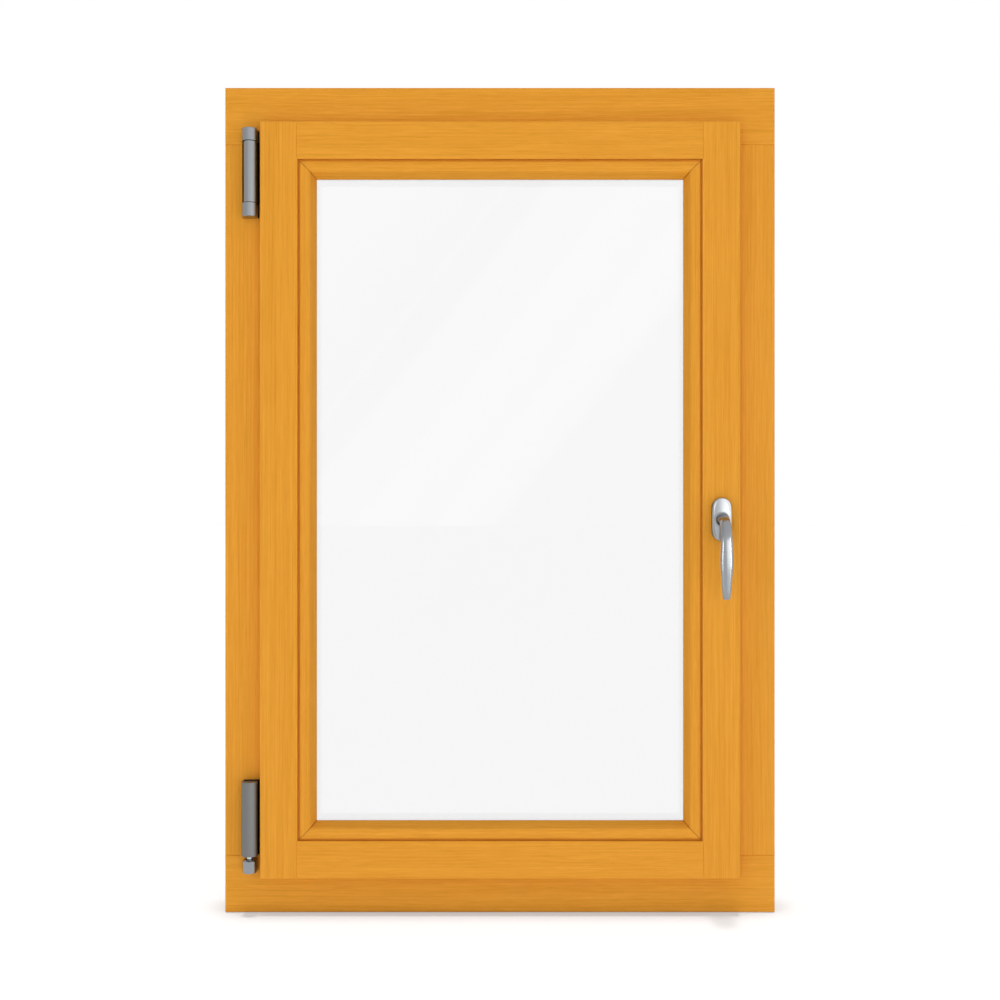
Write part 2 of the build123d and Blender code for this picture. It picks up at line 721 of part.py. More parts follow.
# Drive hardware, each drawn on an edge: X along the edge, Z into the sash.
cam_slot = slot_prism(TRAVEL + 2 * CAM_R + 1.4, 2 * CAM_R + 0.8, 20)
CORNER_LEG = 120.0
LOCK_PLATE = (WALL_LOW + CORNER_LEG, WALL_TOP - CORNER_LEG)
TOP_PLATE = (-230.0, WALL_X - CORNER_LEG)
LOW_PLATE = (55.0, WALL_X - CORNER_LEG)
STUD_SLOT = (-17.0, 4.0)
STUD_SLOT_W = 9.4


def faceplate(low, high, slots):
    body = block(low, high, GROOVE_Y - PLATE_HALF, GROOVE_Y + PLATE_HALF, 0, PLATE_T)
    for middle, cutter in slots:
        body -= Pos(middle, GROOVE_Y, 0) * cutter
    return body


stud_slot = slot_prism(STUD_SLOT[1] - STUD_SLOT[0] + STUD_SLOT_W, STUD_SLOT_W, 20)
stud_mid = STUD_X + (STUD_SLOT[0] + STUD_SLOT[1]) / 2
lock_plate = faceplate(*LOCK_PLATE, [(LOCK_CAM_Z - TRAVEL / 2, cam_slot)])
top_plate = faceplate(*TOP_PLATE, [(TOP_CAM_X + TRAVEL / 2, cam_slot), (stud_mid, stud_slot)])
low_plate = faceplate(*LOW_PLATE, [(TILT_CAM_X - TRAVEL / 2, cam_slot)])
for name, plate in (
    ("lock", on_lock(lock_plate)),
    ("top", on_top(top_plate)),
    ("bottom", on_bottom(low_plate)),
):
    for cutter in plate_screws:
        plate -= cutter
    parts[f"faceplate_{name}"] = plate
parts["faceplate_screws"] = Compound(children=edge_screws(edge_screw - drive))


def rod(low, high, screw_slots=()):
    d0 = ROD_V - LIP
    body = block(low, high, GROOVE_Y - ROD_HALF, GROOVE_Y + ROD_HALF, d0, d0 + ROD_T)
    for middle in screw_slots:
        body -= Pos(middle, GROOVE_Y, d0) * slot_prism(TRAVEL + 8, 4.8, 10)
    return body


def cam(x):
    d0 = ROD_V - LIP
    body = Pos(x, GROOVE_Y, (d0 - CAM_RISE) / 2) * Cylinder(CAM_R, d0 + CAM_RISE)
    return chamfer(body.edges().filter_by(GeomType.CIRCLE).sort_by(Axis.Z)[0], 0.5)


def rack():
    """Straight teeth on the lock rod; a gap stands opposite the pinion's first tooth."""
    root = ROD_V - LIP + ROD_T
    pitch_line = SPINDLE_V - LIP - PITCH_R
    pitch = math.pi * MODULE
    tip = pitch_line + MODULE
    points = []
    for i in range(-3, 13):
        middle = (i + 0.5) * pitch
        for sign, level in ((-1, root), (-1, tip), (1, tip), (1, root)):
            half = pitch / 4 - BACKLASH / 2 - (level - pitch_line) * math.tan(PRESSURE)
            points.append((middle + sign * half, level))
    points = [(points[0][0], root - 0.4)] + points + [(points[-1][0], root - 0.4)]
    teeth = extrude(Plane.XZ * make_face(Polyline(*points, close=True)), amount=4, both=True)
    return Pos(SPINDLE_Z, GROOVE_Y, 0) * teeth


lock_slots = [z + TRAVEL / 2 for z in LOCK_SCREW_Z]
parts["lock_rod"] = on_lock(rod(112.0, 1100.0, lock_slots) + rack())
parts["lock_rod_cam"] = on_lock(cam(LOCK_CAM_Z))
parts["top_rod"] = on_top(rod(120.0, 290.0))
parts["top_rod_cam"] = on_top(cam(TOP_CAM_X))
parts["bottom_rod"] = on_bottom(rod(110.0, 300.0))
parts["bottom_rod_cam"] = on_bottom(cam(TILT_CAM_X))


def corner_drive():
    """Angle plate for the top lock corner with the curved band guide behind it."""
    bend = 32.0
    guide_r = 12.8
    y0, y1 = GROOVE_Y - PLATE_HALF, GROOVE_Y + PLATE_HALF
    leg = CORNER_LEG - 0.3
    body = block(WALL_X - PLATE_T, WALL_X, y0, y1, WALL_TOP - leg, WALL_TOP)
    body += block(WALL_X - leg, WALL_X, y0, y1, WALL_TOP - PLATE_T, WALL_TOP)
    x, z = sash_x - bend, sash_high - bend
    y0, y1 = GROOVE_Y - CASE_Y, GROOVE_Y + CASE_Y
    guide = block(x, WALL_X - PLATE_T, y0, y1, z, WALL_TOP - PLATE_T)
    return body + (guide - bar_y(x, z, guide_r, y0 - 1, y1 + 1))


parts["corner_drive_top"] = corner_drive()
parts["corner_drive_bottom"] = mirror(corner_drive(), about=Plane.XY.offset(MID_Z))


def gear_points():
    """One closed outline of the pinion, involute flanks, a tooth pointing along +X."""
    base = PITCH_R * math.cos(PRESSURE)
    tip = PITCH_R + MODULE
    root = PITCH_R - 1.25 * MODULE

    def roll(r):
        a = math.acos(base / r)
        return math.tan(a) - a

    half = (math.pi * MODULE / 2 - BACKLASH) / (2 * PITCH_R) + roll(PITCH_R)
    steps = [base + (tip - base) * i / 5 for i in range(6)]
    flank = [(root, half)] + [(r, half - roll(r)) for r in steps]
    points = []
    for tooth in range(TEETH):
        middle = 2 * math.pi * tooth / TEETH
        turns = [(r, middle - a) for r, a in flank]
        turns += [(r, middle + a) for r, a in reversed(flank)]
        points += [(r * math.cos(t), r * math.sin(t)) for r, t in turns]
    return points


GEAR_HALF = 4.0
HUB_R = 5.5
square = Rectangle(SPINDLE + 0.1, SPINDLE + 0.1)
spindle_plane = Plane.XZ.offset(-GROOVE_Y)


def at_spindle(sketch, half):
    return Pos(SPINDLE_X, 0, SPINDLE_Z) * extrude(spindle_plane * sketch, amount=half, both=True)


pinion = at_spindle(make_face(Polyline(*gear_points(), close=True)), GEAR_HALF)
pinion += at_spindle(Circle(HUB_R), CASE_Y)
parts["drive_pinion"] = pinion - at_spindle(square, CASE_Y + 1)

case = block(
    sash_x - CASE_V,
    sash_x - CASE_FRONT,
    GROOVE_Y - CASE_Y,
    GROOVE_Y + CASE_Y,
    SPINDLE_Z - CASE_HALF,
    SPINDLE_Z + CASE_HALF,
)
case -= at_spindle(Circle(PITCH_R + MODULE + 0.4), GEAR_HALF + 0.3)
case -= at_spindle(Circle(HUB_R + RUN), CASE_Y + 1)
for dz in (-SCREW_PITCH, SCREW_PITCH):
    case -= bar_y(SPINDLE_X, SPINDLE_Z + dz, HANDLE_SCREW_R, GROOVE_Y - 10, GROOVE_Y + 10)
parts["gearbox_case"] = case

# Handle.
ROSE_H = 62.0
ROSE_W = 28.0
ROSE_T = 10.0
ROSE_WALL = 2.0
COLLAR_R = 11.0
COLLAR_T = 3.0
SPINDLE_BORE = 5.6
SCREW_HEAD_R = 4.6
SCREW_HEAD_T = 3.0


def on_face(sketch, start, end):
    """A sketch centred on the spindle, raised from one height to another over the sash face."""
    body = extrude(Plane.XZ.offset(-SASH_FACE_Y + start) * sketch, amount=end - start)
    return Pos(SPINDLE_X, 0, SPINDLE_Z) * body


def tall_slot(height, width):
    return Rot(0, 0, 90) * SlotOverall(height, width)


# The rosette's face is domed: a bow across and a flatter one along it.
BOW_ACROSS = 34.0
BOW_ALONG = 260.0
dome = Rot(0, 90, 0) * Torus(BOW_ALONG - BOW_ACROSS, BOW_ACROSS)
dome = Pos(SPINDLE_X, SASH_FACE_Y - ROSE_T + BOW_ALONG, SPINDLE_Z) * dome
rose = on_face(tall_slot(ROSE_H, ROSE_W), 0, ROSE_T) & dome
rose = fillet(rose.faces().sort_by(Axis.Y)[0].edges(), 1.2)
collar = on_face(Circle(COLLAR_R), ROSE_T - 1.5, ROSE_T + COLLAR_T)
rose += fillet(collar.faces().sort_by(Axis.Y)[0].edges(), 1.2)
inner_h = ROSE_H - 2 * ROSE_WALL
inner_w = ROSE_W - 2 * ROSE_WALL
BASE_T = ROSE_T - ROSE_WALL
rose -= on_face(tall_slot(inner_h, inner_w), 0, BASE_T)
rose -= on_face(Circle(SPINDLE_BORE), BASE_T - 1, ROSE_T + COLLAR_T + 1)
parts["handle_rosette"] = rose
base = on_face(tall_slot(inner_h - 0.4, inner_w - 0.4), 0, BASE_T)
base -= on_face(Circle(SPINDLE_BORE), -1, BASE_T + 1)
handle_screws = []
for dz in (-SCREW_PITCH, SCREW_PITCH):
    z = SPINDLE_Z + dz
    front = SASH_FACE_Y - BASE_T
    seat = front + 0.4 + SCREW_HEAD_T
    body = bar_y(SPINDLE_X, z, HANDLE_SCREW_R, front + 1, GROOVE_Y + CASE_Y + 2)
    body += bar_y(SPINDLE_X, z, SCREW_HEAD_R, front + 0.4, seat)
    handle_screws.append(body)
    base -= bar_y(SPINDLE_X, z, SCREW_HEAD_R, front - 1, seat)
    base -= bar_y(SPINDLE_X, z, HANDLE_SCREW_R, front, SASH_FACE_Y + 1)
parts["handle_base"] = base
parts["handle_screws"] = Compound(children=handle_screws)

SPINDLE_OUT = 24.0
parts["handle_spindle"] = on_face(Rectangle(SPINDLE, SPINDLE), -38.0, SPINDLE_OUT)

# Lever stations: height over the sash face, drop below the spindle, lean, width, thickness.
LEVER = (
    (13.2, 0.0, 0, 17.0, 13.0),
    (20.0, 0.0, 0, 16.8, 12.6),
    (29.0, -1.6, 17, 16.4, 12.0),
    (37.4, -6.4, 41, 16.0, 11.4),
    (43.8, -14.2, 62, 15.9, 10.8),
    (48.0, -25.0, 78, 16.3, 10.6),
    (49.7, -39.0, 87, 17.2, 10.6),
    (50.0, -56.0, 91, 18.1, 10.4),
    (49.4, -77.0, 92, 16.4, 9.6),
    (48.4, -97.0, 94, 13.2, 8.6),
    (47.2, -112.0, 95, 9.8, 7.4),
)


def lever():
    sections = []
    for out, drop, lean, width, thick in LEVER:
        angle = math.radians(lean)
        tangent = (0, -math.cos(angle), -math.sin(angle))
        place = Plane(
            origin=(SPINDLE_X, SASH_FACE_Y - out, SPINDLE_Z + drop),
            x_dir=(1, 0, 0),
            z_dir=tangent,
        )
        sections.append(place * Ellipse(width / 2, thick / 2))
    body = loft(sections)
    return body - on_face(square, 12.0, SPINDLE_OUT)


parts["handle_lever"] = lever()

for name, shape in parts.items():
    export_step(shape, f"parts/{name}.step")
print(len(parts), "nodes")
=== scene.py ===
# %% [markdown]
# # A timber window that turns and tilts
# The solids come from the imported model and stay where they are. This lesson gives each of them
# the finish it has in real life and sets up a plain studio and a camera.

# %% Load the window
import math

import bpy
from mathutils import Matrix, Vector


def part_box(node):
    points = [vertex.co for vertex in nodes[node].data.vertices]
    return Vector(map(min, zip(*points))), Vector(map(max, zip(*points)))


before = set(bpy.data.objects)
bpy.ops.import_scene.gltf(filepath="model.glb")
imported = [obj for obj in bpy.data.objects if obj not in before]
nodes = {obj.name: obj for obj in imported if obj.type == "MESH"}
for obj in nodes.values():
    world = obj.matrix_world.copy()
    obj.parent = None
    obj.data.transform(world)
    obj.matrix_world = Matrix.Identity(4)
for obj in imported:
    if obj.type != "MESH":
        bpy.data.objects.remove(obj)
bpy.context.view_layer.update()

# %% [markdown]
# ## Camera
# The window is seen square on, so every edge of it is upright or level in the picture. The camera
# stands level with the middle of the frame, two metres into the room. A 50 mm lens gives the mild
# perspective that shows a little of the sash's inner sides. It could be turned to look at a target,
# but one right angle about X is all that a level view needs.

# %% Camera
LEVEL = 0.6
STAND = -2.0548
LENS = 50.0
SENSOR = 36.0
FAR = 60.0
UPRIGHT_TURN = math.radians(90)

lens = bpy.data.cameras.new("camera")
lens.lens = LENS
lens.sensor_width = SENSOR
lens.clip_end = FAR
camera = bpy.data.objects.new("camera", lens)
camera.location = (0.0, STAND, LEVEL)
camera.rotation_euler = (UPRIGHT_TURN, 0.0, 0.0)
bpy.context.scene.collection.objects.link(camera)
bpy.context.scene.camera = camera
bpy.context.scene.view_settings.view_transform = "Standard"
print("camera", tuple(camera.location))

# %% [markdown]
# ## Sums on sockets
# Shader maths is easier to read as a sum than as a row of nodes. A small class stands for one
# value on its way through a node tree, and each operator on it adds a Math node. The reflected
# forms let a plain number come first, as in 1 - mask.

# %% Wires
class Wire:
    """One value on its way through a node tree."""

    def __init__(self, bench, socket):
        self.bench = bench
        self.socket = socket

    def sum(self, operation, first, second):
        return self.bench.node("Math", {"operation": operation}, {0: first, 1: second})

    def __add__(self, other):
        return self.sum("ADD", self, other)

    def __sub__(self, other):
        return self.sum("SUBTRACT", self, other)

    def __rsub__(self, other):
        return self.sum("SUBTRACT", other, self)

    def __mul__(self, other):
        return self.sum("MULTIPLY", self, other)

    def __pow__(self, other):
        return self.sum("POWER", self, other)

    def __rpow__(self, other):
        return self.sum("POWER", other, self)

    def __abs__(self):
        return self.bench.node("Math", {"operation": "ABSOLUTE"}, {0: self})

    __radd__ = __add__
    __rmul__ = __mul__


# %% [markdown]
# ## A bench for nodes
# A finish could be wired by hand in the shader editor, node by node. In a script one method makes
# every node: its settings are set first, then its sockets are filled with values or linked. The
# short methods after it name the joins that most finishes of this window share.

# %% Bench
class Bench:
    """A node tree to build on."""

    def __init__(self, tree):
        self.tree = tree
        tree.nodes.clear()

    def node(self, kind, settings, sockets, out=0):
        made = self.tree.nodes.new("ShaderNode" + kind)
        for name, value in settings.items():
            if name == "stops":
                ramp = made.color_ramp.elements
                while len(ramp) < len(value):
                    ramp.new(1.0)
                for stop, (place, shade) in zip(ramp, value):
                    stop.position = place
                    stop.color = (shade, shade, shade, 1.0)
            else:
                setattr(made, name, value)
        for name, value in sockets.items():
            if isinstance(value, Wire):
                self.tree.links.new(value.socket, made.inputs[name])
            else:
                made.inputs[name].default_value = value
        return Wire(self, made.outputs[out]) if len(made.outputs) else None

    def place(self):
        """Where a point is on the window, in metres."""
        return self.node("TexCoord", {}, {}, "Object")

    def parts(self, vector):
        """The three parts of a vector, each as a value."""
        return [self.node("SeparateXYZ", {}, {0: vector}, axis) for axis in range(3)]

    def noise(self, vector, scale, detail=2.0, rough=0.5):
        sockets = {"Vector": vector, "Scale": scale, "Detail": detail, "Roughness": rough}
        return self.node("TexNoise", {}, sockets, "Fac")

    def stretch(self, vector, amounts):
        return self.node("VectorMath", {"operation": "MULTIPLY"}, {0: vector, 1: amounts})

    def ramp(self, value, stops):
        return self.node("ValToRGB", {"stops": stops}, {"Fac": value})

    def blend(self, factor, first, second):
        settings = {"data_type": "RGBA"}
        return self.node("Mix", settings, {0: factor, 6: first, 7: second}, 2)

    def rise(self, value, start, end, low, high):
        """A smooth step from low to high as value goes from start to end."""
        settings = {"interpolation_type": "SMOOTHSTEP"}
        return self.node("MapRange", settings, {0: value, 1: start, 2: end, 3: low, 4: high})

    def bump(self, height, distance, strength):
        sockets = {"Height": height, "Distance": distance, "Strength": strength}
        return self.node("Bump", {}, sockets)


# %% [markdown]
# ## Colours and coats
# Paint charts give a colour from 0 to 255 as the eye sees it, and shaders reckon with the light
# itself, so each colour is turned once, here. A finish is one material, and dressing a piece puts
# that material in its only slot. The shapes themselves are left as they came.

# %% Colours and coats
def srgb(red, green, blue):
    """A colour as a paint chart gives it, 0 to 255, in the linear form that shaders use."""
    out = []
    for value in (red, green, blue):
        share = value / 255.0
        out.append(share / 12.92 if share <= 0.04045 else ((share + 0.055) / 1.055) ** 2.4)
    return (*out, 1.0)


def darkened(colour, share):
    """A colour with this share of its light left."""
    return (*(value * share for value in colour[:3]), 1.0)


def finish(name):
    """A new material and the bench of its node tree."""
    material = bpy.data.materials.new(name)
    material.use_nodes = True
    return material, Bench(material.node_tree)


def coat(bench, sockets):
    """The surface shader and the material's output."""
    surface = bench.node("BsdfPrincipled", {}, sockets)
    bench.node("OutputMaterial", {}, {"Surface": surface})


def dress(material, *names):
    for name in names:
        mesh = nodes[name].data
        mesh.materials.clear()
        mesh.materials.append(material)
    print(material.name, "on", ", ".join(names))


# %% [markdown]
# ## Grain
# The frame and the sash are planed softwood under a honey-coloured glaze. Seen from the room the
# grain is straight and quiet: short fibres, longer streaks and a broad change of tone, each a noise
# stretched along its member. A wave texture would repeat, and a wandering one would look like bark.
# The fibres sway by less than a millimetre, and in the level members they are shorter. Growth rings
# round a pith axis outdoors of the window add faint lines.

# %% Grain
# Cells in a metre across, through and along the grain, in uprights (z) and level members (x).
FIBRES = {"z": (760.0, 760.0, 21.0), "x": (760.0, 760.0, 36.0)}
STREAKS = {"z": (400.0, 400.0, 4.5), "x": (400.0, 400.0, 9.0)}
TONES = (75.0, 75.0, 1.6)
BENDS = (6.0, 6.0, 0.9)
WAVES = (45.0, 45.0, 22.0)

NOISE_MIDDLE = 0.5
SWAY = {"z": 0.0005, "x": 0.001}
PITH_Y = 0.36
RING = 0.0041
RING_STOPS = [(0.0, 0.0), (0.55, 0.25), (0.86, 1.0), (1.0, 0.0)]
BEND_REACH = 0.03
STREAK_REACH = 0.0012


def swayed(bench, side, y, long_way, scale, reach):
    """How far across the member the grain at a point began."""
    straight = bench.node("CombineXYZ", {}, {0: side, 1: y, 2: long_way})
    wave = bench.noise(bench.stretch(straight, WAVES), scale, detail=1.0)
    return side + (wave - NOISE_MIDDLE) * reach


def growth_rings(bench, side, y, wander):
    """Light early wood that darkens slowly to late wood, then starts again."""
    reach = (side ** 2.0 + (y - PITH_Y) ** 2.0) ** 0.5
    turn = (reach + wander) * (1.0 / RING)
    saw = bench.node("Math", {"operation": "FRACT"}, {0: turn})
    return bench.ramp(saw, RING_STOPS)


print("fibres", FIBRES["z"], "streaks", STREAKS["z"], "ring", RING)

# %% [markdown]
# ## Cut ends and mitres
# On the cut ends of a member the glaze soaks in, so they are darker, and the rings show on them as
# arcs. The mesh's own normal tells an end from a side, and it turns with the sash when it opens.
# Where two beads meet, a thin dark line runs at 45 degrees. It could be a groove in the solid, but
# a tight joint has no depth to show, so it is drawn by the distance from that slanting line.

# %% Cut ends and mitres
AXIS = {"x": 0, "z": 2}
END_FROM, END_FULL = 0.8, 0.95
SEAM = srgb(158, 92, 12)
SEAM_HALF, SEAM_FADE = 0.0003, 0.0011
SEAM_DARK = 0.75
BEAD_LOW, BEAD_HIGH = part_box("bead_bottom")[0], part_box("bead_top")[1]
BEAD_MIDDLE = (BEAD_LOW[2] + BEAD_HIGH[2]) / 2
BEAD_LONGER = (BEAD_HIGH[2] - BEAD_LOW[2]) / 2 - BEAD_HIGH[0]


def cut_end(bench, along):
    """1 on the cut ends of a member and 0 on its long sides."""
    faces = bench.node("TexCoord", {}, {}, "Normal")
    facing = abs(bench.node("SeparateXYZ", {}, {0: faces}, AXIS[along]))
    return bench.rise(facing, END_FROM, END_FULL, 0.0, 1.0)


def mitre(bench, x, z):
    """The thin dark line where two beads meet at 45 degrees."""
    gap = abs(abs(z - BEAD_MIDDLE) - abs(x) - BEAD_LONGER)
    return bench.rise(gap, SEAM_HALF, SEAM_FADE, SEAM_DARK, 0.0)


print("beads from", round(BEAD_LOW[2], 4), "to", round(BEAD_HIGH[2], 4))

# %% [markdown]
# ## Timber
# The grain's layers are added up to one darkness, and that picks a tone between early and late
# wood. The same fibres roughen the glaze and lift it a little. Uprights and rails get the same
# recipe with the grain turned, and each group starts its noise elsewhere, so that no two match.

# %% Timber
EARLY = srgb(241, 167, 59)
LATE = srgb(211, 138, 27)
FIBRE_DARK, STREAK_DARK, TONE_DARK, RING_DARK = 0.85, 0.8, 0.38, 0.14
PALE = 0.58
END_DARK, END_RING_DARK = 0.1, 0.6
GLAZE_ROUGH, GLAZE_GRIP = 0.46, 0.16
GLAZE_SHINE = 0.15
GRAIN_DEPTH, GRAIN_FORCE = 0.0001, 0.4
FIBRE_LIFT, STREAK_LIFT = 0.7, 0.3


def timber(name, along, shift, mitred=False):
    material, bench = finish(name)
    scale = 1.0 + shift
    x, y, z = bench.parts(bench.place())
    long_way, side = (z, x) if along == "z" else (x, z - LEVEL)
    side = swayed(bench, side, y, long_way, scale, SWAY[along])
    grain = bench.node("CombineXYZ", {}, {0: side, 1: y, 2: long_way})
    fibre = bench.noise(bench.stretch(grain, FIBRES[along]), scale, rough=0.65)
    streak = bench.noise(bench.stretch(grain, STREAKS[along]), scale, rough=0.6)
    tone = bench.noise(bench.stretch(grain, TONES), scale, detail=1.0)
    bend = bench.noise(bench.stretch(grain, BENDS), scale, detail=1.0)
    ring = growth_rings(bench, side, y, bend * BEND_REACH + streak * STREAK_REACH)
    dark = fibre * FIBRE_DARK + streak * STREAK_DARK + tone * TONE_DARK + ring * RING_DARK - PALE
    dark = dark + cut_end(bench, along) * (ring * END_RING_DARK + END_DARK)
    shade = bench.blend(dark, EARLY, LATE)
    if mitred:
        shade = bench.blend(mitre(bench, x, z), shade, SEAM)
    lift = fibre * FIBRE_LIFT + streak * STREAK_LIFT
    coat(bench, {
        "Base Color": shade,
        "Roughness": GLAZE_ROUGH + fibre * GLAZE_GRIP,
        "Normal": bench.bump(lift, GRAIN_DEPTH, GRAIN_FORCE),
        "Specular IOR Level": GLAZE_SHINE,
    })
    return material


JAMBS = ("frame_jamb_hinge", "frame_jamb_lock", "sash_stile_hinge", "sash_stile_lock")
RAILS = ("frame_head", "frame_sill", "sash_rail_top", "sash_rail_bottom")
dress(timber("timber_upright", "z", 0.00), *JAMBS)
dress(timber("timber_level", "x", 0.07), *RAILS)
dress(timber("bead_upright", "z", 0.13, mitred=True), "bead_hinge", "bead_lock")
dress(timber("bead_level", "x", 0.19, mitred=True), "bead_top", "bead_bottom")

# %% [markdown]
# ## Glass
# The sash holds a sealed unit of two panes. Clear glass needs transmission and the right index of
# refraction, and very little else. Its tint drifts by less than a hundredth, as drawn glass does.
# The slanting sheen on it is no part of the finish: it is the room's reflection, made further on.

# %% Glass
GLASS_BEND = 1.5
GLASS_DRIFT = 3.0
ROOM_TINTS = srgb(248, 248, 248), srgb(249, 249, 249)
OUTER_TINTS = srgb(253, 253, 253), srgb(254, 254, 254)


def pane(name, tints):
    material, bench = finish(name)
    drift = bench.noise(bench.place(), GLASS_DRIFT)
    coat(bench, {
        "Base Color": bench.blend(drift, *tints),
        "Roughness": 0.0,
        "IOR": GLASS_BEND,
        "Transmission Weight": 1.0,
    })
    return material


dress(pane("room_glass", ROOM_TINTS), "glass_room")
dress(pane("outer_glass", OUTER_TINTS), "glass_outer")

# %% [markdown]
# ## Metals
# The window carries several finishes: satin plated hinge caps, a grey sleeve, a bright pin, a dark
# bracket, a polished lever and zinc-plated locking gear. They differ in colour, in roughness and in
# the marks of making. Brushing is noise stretched along one axis; it moves the roughness and tips
# the surface a little. Plating adds a slow change of tone. All of them come from one recipe.

# %% Metal recipe
UPRIGHT = (1500.0, 1500.0, 30.0)
LEVEL_WAY = (30.0, 1500.0, 1500.0)
EVEN = (700.0, 700.0, 700.0)
CLOUDS = 90.0
BRUSH_SHARE, CLOUD_SHARE = 0.6, 0.4
BRUSH_DEPTH, BRUSH_FORCE = 0.00002, 0.4
# The colour of painted shade, put where shade falls on a metal part.
PAINTED_SHADE_COLOUR = srgb(100, 101, 104)


def metal(name, colour, rough, brushing, tone=0.08, grip=0.08, painted_shade=None):
    material, bench = finish(name)
    place = bench.place()
    brush = bench.noise(bench.stretch(place, brushing), 1.0, detail=3.0, rough=0.6)
    cloud = bench.noise(place, CLOUDS)
    mix = brush * BRUSH_SHARE + cloud * CLOUD_SHARE
    shade = bench.blend(mix, darkened(colour, 1.0 - 2.0 * tone), colour)
    # Where a mask is given, shade is painted there in a darker colour.
    if painted_shade:
        shade = bench.blend(painted_shade(bench, place), shade, PAINTED_SHADE_COLOUR)
    coat(bench, {
        "Base Color": shade,
        "Roughness": rough - grip / 2 + brush * grip,
        "Metallic": 1.0,
        "Normal": bench.bump(brush, BRUSH_DEPTH, BRUSH_FORCE),
    })
    return material


# %% [markdown]
# ## Hinges
# The caps and the barrel of the upper hinge are satin plated. The lower hinge has a greyer sleeve
# that stands on a bright pin in a plated cup. What lies behind them is coated dark.

# %% Hinges
HINGE_SKINS = ("stay_cap_upper", "stay_cap_lower", "stay_barrel")
DARK_PARTS = ("stay_bearing", "stay_arm", "corner_hinge")
dress(metal("satin_plate", srgb(161, 165, 168), 0.33, UPRIGHT, tone=0.04), *HINGE_SKINS)
dress(metal("bright_plate", srgb(163, 166, 169), 0.24, UPRIGHT, tone=0.04), "corner_bearing")
dress(metal("grey_sleeve", srgb(139, 139, 138), 0.5, UPRIGHT, tone=0.05), "corner_hinge_cover")
dress(metal("bright_pin", srgb(225, 226, 228), 0.12, EVEN), "corner_ball_pin")
dress(metal("dark_coat", srgb(32, 32, 34), 0.45, EVEN), *DARK_PARTS)

# %% [markdown]
# ## Handle
# Lever and rosette are polished. On the rosette's rim against the sash and on the collar round the
# lever, shade is painted: their colour is darker. They could be pieces of their own, but they are
# one casting with it, so the painted shade follows distance from the spindle and from the sash's
# face.

# %% Handle
SPINDLE = [(a + b) / 2 for a, b in zip(*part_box("handle_spindle"))]
ROSETTE_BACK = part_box("handle_rosette")[1][1]
COLLAR_IN, COLLAR_OUT = 0.0095, 0.0101
RIM_TOP, RIM_FULL = 0.0071, 0.0063
HAND_TONE, HAND_GRIP = 0.03, 0.04


def rim_and_collar_shade(bench, place):
    """1 on the rim and the collar, where shade is painted on the rosette."""
    x, y, z = bench.parts(place)
    reach = ((x - SPINDLE[0]) ** 2.0 + (z - SPINDLE[2]) ** 2.0) ** 0.5
    collar = bench.rise(reach, COLLAR_IN, COLLAR_OUT, 1.0, 0.0)
    rim = bench.rise(y, ROSETTE_BACK - RIM_TOP, ROSETTE_BACK - RIM_FULL, 0.0, 1.0)
    return collar + rim * (1.0 - collar)


lever = metal("polished_lever", srgb(163, 167, 170), 0.21, UPRIGHT, HAND_TONE, HAND_GRIP)
# The rosette's rim and collar get painted shade.
rosette = metal(
    "polished_rosette", srgb(187, 190, 193), 0.28, UPRIGHT, HAND_TONE, HAND_GRIP, rim_and_collar_shade
)
dress(lever, "handle_lever")
dress(rosette, "handle_rosette")

# %% [markdown]
# ## Locking gear and rails
# Rods, cams, plates, strikers and screws are zinc plated, which leaves an even, slightly cloudy
# skin. The stay turns in a bronze bush. The spacer between the panes and the rain rail outdoors are
# aluminium, the rail drawn lengthwise.

# %% Locking gear and rails
ZINC_PARTS = (
    "striker_lock", "striker_top", "striker_tilt", "striker_screws", "stay_bearing_screws",
    "stay_bearing_pin", "corner_hinge_screws", "faceplate_lock", "faceplate_top",
    "faceplate_bottom", "faceplate_screws", "corner_drive_top", "corner_drive_bottom",
    "lock_rod", "top_rod", "bottom_rod", "lock_rod_cam", "top_rod_cam", "bottom_rod_cam",
    "gearbox_case", "drive_pinion", "handle_spindle", "handle_screws", "handle_base", "stay_stud",
)
dress(metal("zinc_plate", srgb(205, 207, 208), 0.34, EVEN, tone=0.12), *ZINC_PARTS)
dress(metal("bronze_bush", srgb(190, 150, 100), 0.4, EVEN), "stay_bush")
dress(metal("spacer_strip", srgb(195, 197, 199), 0.38, EVEN), "glass_spacer")
dress(metal("rail_metal", srgb(190, 192, 194), 0.36, LEVEL_WAY), "rain_rail")

# %% [markdown]
# ## Rubber and plastic
# Seals, gasket, setting blocks and end caps are matt mouldings. A fine pebble in the surface keeps
# them from looking like flat paint, and a slow tone keeps one length from matching the next.

# %% Rubber and plastic
PEBBLES = 1400.0
PATCHES = 35.0
PEBBLE_SHARE, PATCH_SHARE = 0.3, 0.7
PEBBLE_DEPTH, PEBBLE_FORCE = 0.00004, 0.5
MATT_SPREAD = 0.1
OLD_SHARE = 0.75


def moulding(name, colour, rough):
    material, bench = finish(name)
    place = bench.place()
    pebble = bench.noise(place, PEBBLES)
    patch = bench.noise(place, PATCHES)
    mix = patch * PATCH_SHARE + pebble * PEBBLE_SHARE
    coat(bench, {
        "Base Color": bench.blend(mix, darkened(colour, OLD_SHARE), colour),
        "Roughness": rough - MATT_SPREAD / 2 + pebble * MATT_SPREAD,
        "Normal": bench.bump(pebble, PEBBLE_DEPTH, PEBBLE_FORCE),
    })
    return material


dress(moulding("seal_rubber", srgb(196, 140, 70), 0.6), "glazing_seal_room", "glazing_seal_outer")
dress(moulding("gasket_rubber", srgb(58, 52, 46), 0.7), "sash_gasket")
dress(moulding("edge_sealant", srgb(38, 38, 40), 0.55), "glass_edge_seal")
dress(moulding("block_plastic", srgb(70, 110, 160), 0.5), "setting_blocks")
dress(moulding("cap_plastic", srgb(95, 96, 98), 0.5), "rain_rail_caps")

